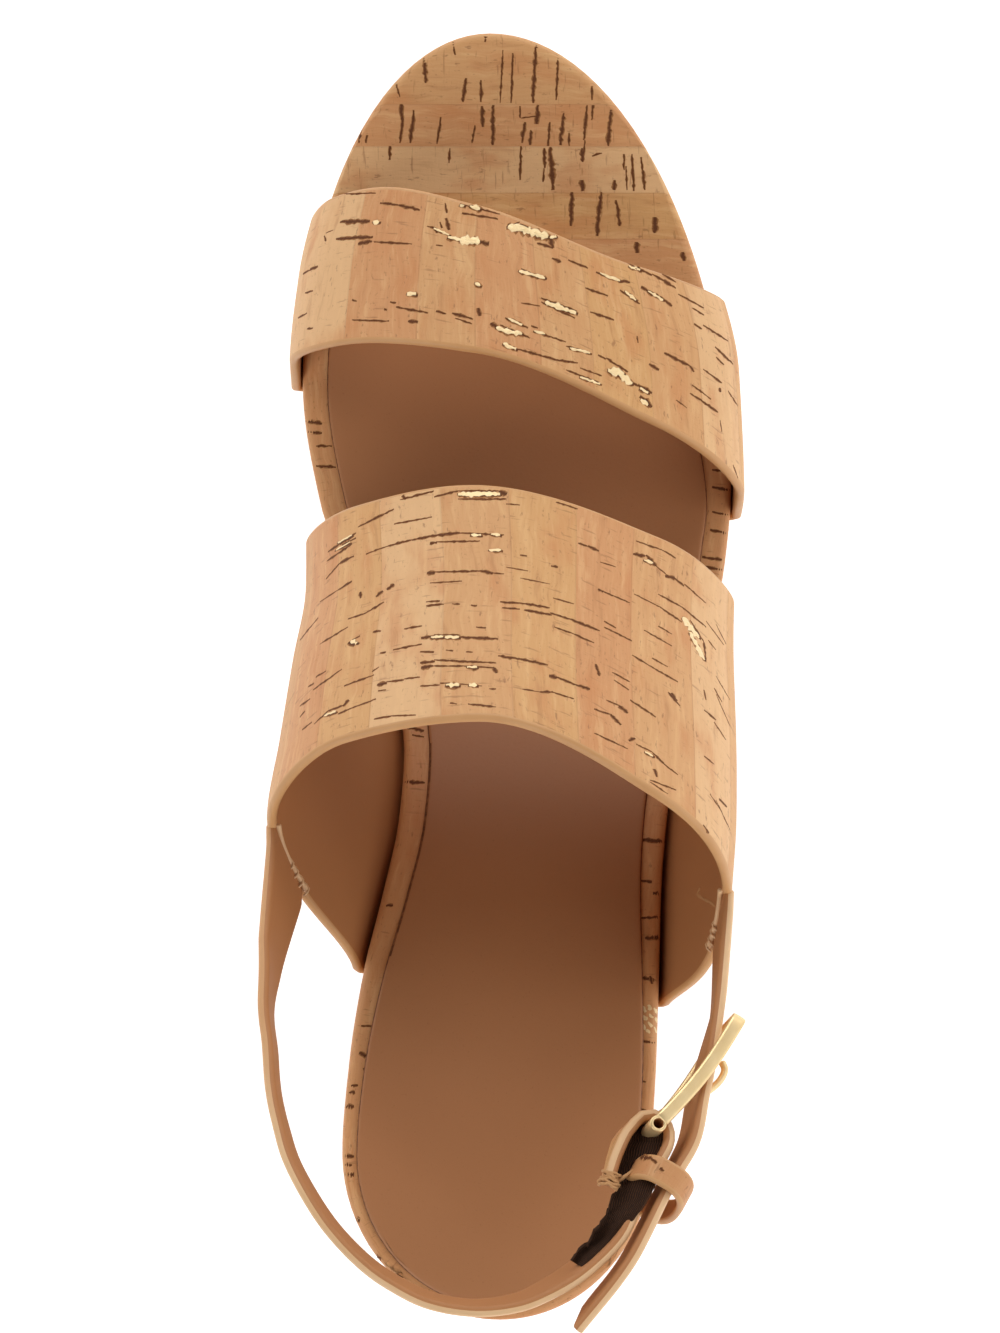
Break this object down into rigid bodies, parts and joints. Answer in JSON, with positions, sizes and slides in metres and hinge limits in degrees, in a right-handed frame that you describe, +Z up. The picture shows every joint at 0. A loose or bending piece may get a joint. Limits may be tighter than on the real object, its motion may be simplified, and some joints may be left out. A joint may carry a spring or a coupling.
{
  "type": "platform sandal",
  "caption": "Right-foot platform sandal with a block heel, cork-covered sole and wide cork straps, leather insole and a buckled slingback.",
  "frame": {"origin": "middle of the sandal's box at floor level", "axes": "+Y towards the toe, +X towards the outer (lateral) side, +Z up from the floor it stands on"},
  "size_m": [0.0888, 0.2354, 0.143],
  "materials": {
    "cork_cover": "natural cork sheet over a moulded block",
    "cork_strap": "cork-faced fabric lined with brown leather",
    "insole_leather": "smooth brown leather, low sheen",
    "rubber": "matt brown rubber",
    "gold_metal": "polished pale gold plate"
  },
  "bodies": {
    "root": {"outsole": "rubber", "platform": "cork_cover", "heel": "cork_cover", "heel_tip": "rubber", "footbed": "cork_cover", "insole_sock": "insole_leather", "toe_strap": "cork_strap", "instep_strap": "cork_strap", "sling_strap": "cork_strap", "buckle_strap": "cork_strap", "keeper_loop": "cork_strap", "buckle_frame": "gold_metal", "buckle_prong": "gold_metal"}
  },
  "joints": []
}
